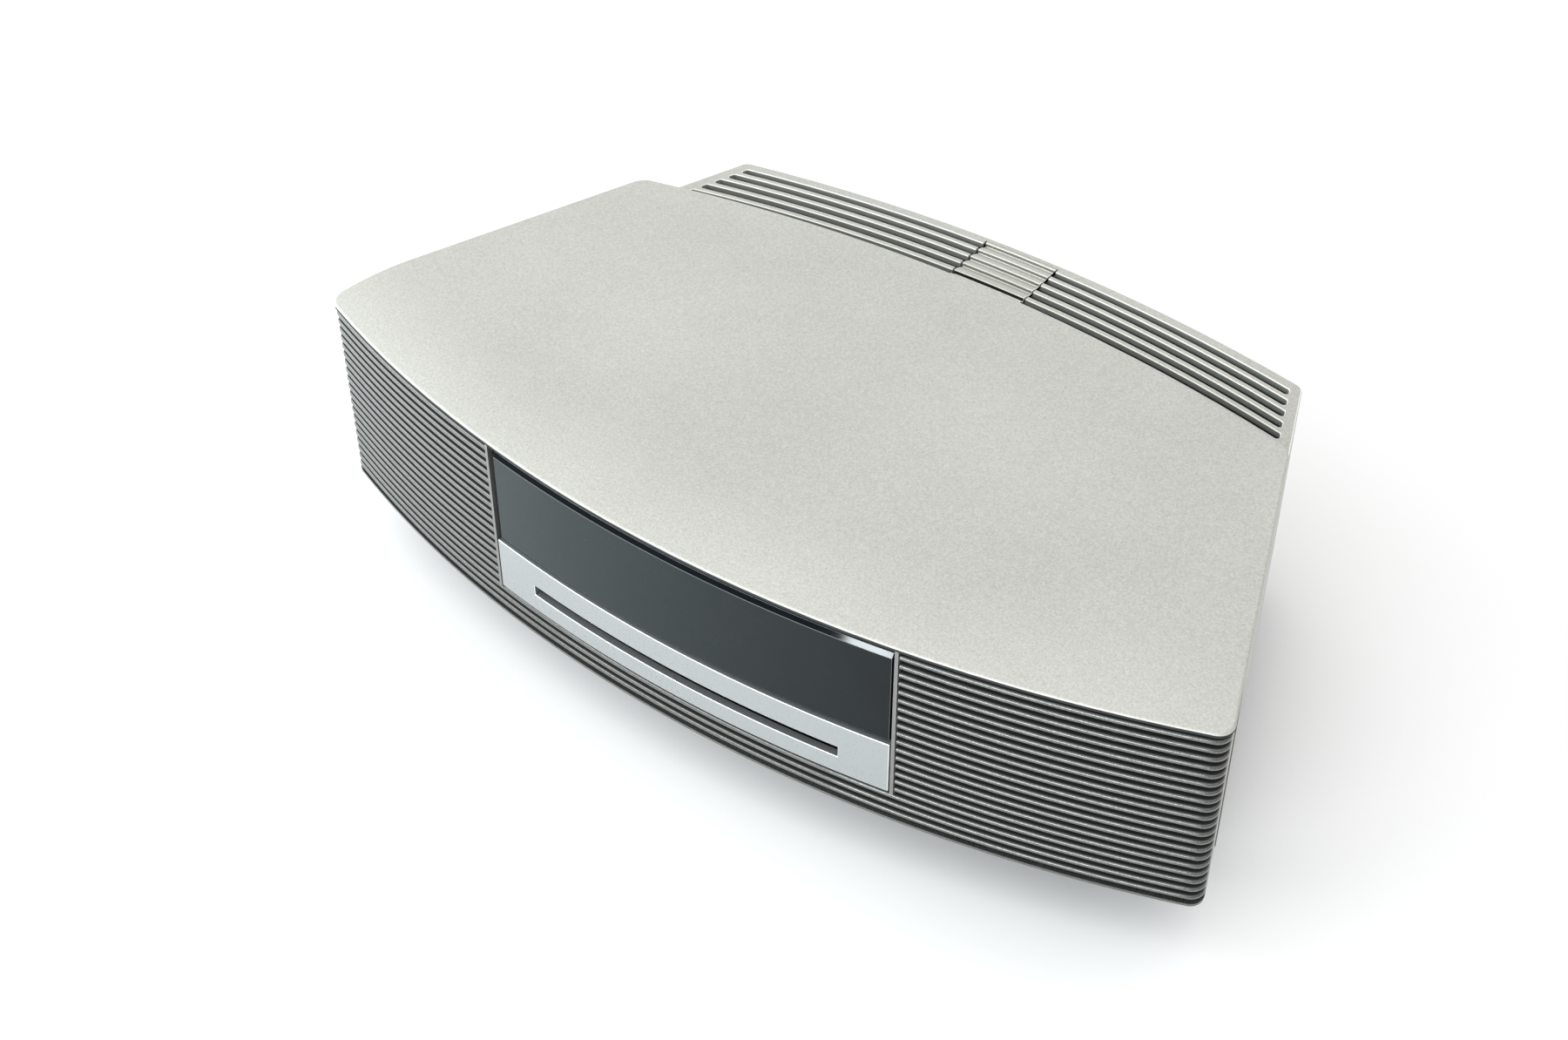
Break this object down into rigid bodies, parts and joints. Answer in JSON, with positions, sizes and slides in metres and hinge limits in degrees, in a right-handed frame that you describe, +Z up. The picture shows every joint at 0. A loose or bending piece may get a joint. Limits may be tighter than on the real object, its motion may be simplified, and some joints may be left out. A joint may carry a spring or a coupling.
{
  "type": "table cd radio",
  "caption": "Low wedge-plan table radio and disc player with a ribbed wrap-round grille, dark display window, disc slot and louvred rear deck.",
  "frame": {"origin": "middle of the object in plan, on the surface its feet stand on", "axes": "+Z up, front with window and slot towards -Y, +X to the right as seen from behind the front"},
  "size_m": [0.368, 0.2164, 0.106],
  "materials": {
    "cover_silver": "satin metallic, warm light grey",
    "grille_silver": "satin metallic",
    "panel_silver": "smooth satin silver",
    "trim_silver": "satin",
    "lens_smoke": "dark polished tinted plastic",
    "black_gloss": "black",
    "tray_graphite": "fine grained",
    "foot_rubber": "matt",
    "screw_steel": "zinc plated",
    "socket_black": "smooth",
    "socket_metal": "nickel plated",
    "pin_brass": "bright",
    "board_green": "solder mask",
    "core_iron": "varnished laminations",
    "sink_aluminium": "extruded",
    "tin_plate": "tinned sheet",
    "tube_glass": "dark glass",
    "chassis_steel": "zinc plated sheet",
    "black_plastic": "moulded",
    "shaft_steel": "ground and polished",
    "sled_alloy": "die cast",
    "pickup_lens": "coated lens",
    "gear_white": "acetal",
    "pinion_brass": "cut",
    "roller_rubber": "ground rubber",
    "cloth_black": "dark acoustic cloth",
    "basket_steel": "black",
    "magnet_ferrite": "ferrite",
    "cone_paper": "treated paper",
    "surround_rubber": "matt",
    "duct_plastic": "moulded"
  },
  "bodies": {
    "case": {"aerial_jacks": "socket_metal", "base_tray": "tray_graphite", "case_screws": "screw_steel", "dampers": "foot_rubber", "display_bezel": "black_gloss", "display_board": "board_green", "display_lens": "lens_smoke", "display_tube": "tube_glass", "front_grille": "grille_silver", "grille_screen_left": "cloth_black", "grille_screen_right": "cloth_black", "headphone_jack": "socket_black", "heat_sink": "sink_aluminium", "inlet_pins": "pin_brass", "line_jacks": "socket_metal", "link_port": "socket_black", "main_board": "board_green", "mech_chassis": "chassis_steel", "power_board": "board_green", "power_inlet": "socket_black", "rear_panel": "tray_graphite", "remote_receiver": "socket_black", "rubber_feet": "foot_rubber", "slot_fascia": "panel_silver", "speaker_frame_left": "basket_steel", "speaker_frame_right": "basket_steel", "speaker_magnet_left": "magnet_ferrite", "speaker_magnet_right": "magnet_ferrite", "surround_left": "surround_rubber", "surround_right": "surround_rubber", "top_cover": "cover_silver", "top_plate": "chassis_steel", "transformer": "core_iron", "trim_bar_left": "trim_silver", "trim_bar_right": "trim_silver", "tuner_shield": "tin_plate", "vent_bridge": "cover_silver", "vent_screen_left": "cloth_black", "vent_screen_right": "cloth_black", "waveguide_left": "duct_plastic", "waveguide_right": "duct_plastic"},
    "lift": {"lift_plate": "chassis_steel", "spindle_motor": "chassis_steel", "guide_rods": "shaft_steel", "sled_motor": "chassis_steel"},
    "turntable": {"turntable": "black_plastic"},
    "puck": {"clamp_puck": "black_plastic"},
    "screw": {"lead_screw": "shaft_steel"},
    "sled": {"laser_sled": "sled_alloy"},
    "lens": {"objective_lens": "pickup_lens"},
    "bracket": {"roller_bracket": "chassis_steel", "load_motor": "chassis_steel"},
    "idler": {"idler_gear": "gear_white"},
    "pinion": {"motor_pinion": "pinion_brass"},
    "roller": {"roller_gear": "gear_white", "roller_shaft": "shaft_steel", "load_roller": "roller_rubber"},
    "cone_left": {"speaker_cone_left": "cone_paper"},
    "cone_right": {"speaker_cone_right": "cone_paper"}
  },
  "joints": [
    {"name": "lift_slide", "type": "slide", "parent": "case", "child": "lift", "axis": [0, 0, 1], "range_m": [0, 0.0046]},
    {"name": "bracket_swing", "type": "hinge", "parent": "case", "child": "bracket", "pos_m": [0, -0.06, 0.034], "axis": [1, 0, 0], "range_deg": [0, 8]},
    {"name": "turntable_spin", "type": "hinge", "parent": "lift", "child": "turntable", "pos_m": [0, -0.028, 0.038], "axis": [0, 0, 1], "continuous": true},
    {"name": "puck_spin", "type": "hinge", "parent": "case", "child": "puck", "pos_m": [0, -0.028, 0.048], "axis": [0, 0, 1], "continuous": true},
    {"name": "sled_slide", "type": "slide", "parent": "lift", "child": "sled", "axis": [0, 1, 0], "range_m": [0, 0.034]},
    {"name": "screw_turn", "type": "hinge", "parent": "lift", "child": "screw", "pos_m": [0.03, 0, 0.036], "axis": [0, 1, 0], "range_deg": [0, 4090]},
    {"name": "lens_focus", "type": "slide", "parent": "sled", "child": "lens", "axis": [0, 0, 1], "range_m": [-0.0004, 0.0004], "stiffness_N_per_m": 20},
    {"name": "roller_spin", "type": "hinge", "parent": "bracket", "child": "roller", "pos_m": [0, -0.07464, 0.0381], "axis": [1, 0, 0], "continuous": true},
    {"name": "idler_spin", "type": "hinge", "parent": "bracket", "child": "idler", "pos_m": [0.065, -0.06, 0.034], "axis": [1, 0, 0], "continuous": true},
    {"name": "pinion_spin", "type": "hinge", "parent": "bracket", "child": "pinion", "pos_m": [0.065, -0.0472, 0.034], "axis": [1, 0, 0], "continuous": true},
    {"name": "cone_left_travel", "type": "slide", "parent": "case", "child": "cone_left", "axis": [-0.2497, -0.9683, 0], "range_m": [-0.0025, 0.0025], "stiffness_N_per_m": 1200},
    {"name": "cone_right_travel", "type": "slide", "parent": "case", "child": "cone_right", "axis": [0.2497, -0.9683, 0], "range_m": [-0.0025, 0.0025], "stiffness_N_per_m": 1200}
  ],
  "couplings": [
    {"joint": "bracket_swing", "follows": "lift_slide", "rad_per_m": 30.354},
    {"joint": "puck_spin", "follows": "turntable_spin", "ratio": 1},
    {"joint": "screw_turn", "follows": "sled_slide", "rad_per_m": 2094.4},
    {"joint": "idler_spin", "follows": "roller_spin", "ratio": -0.9},
    {"joint": "pinion_spin", "follows": "roller_spin", "ratio": 1.5}
  ]
}
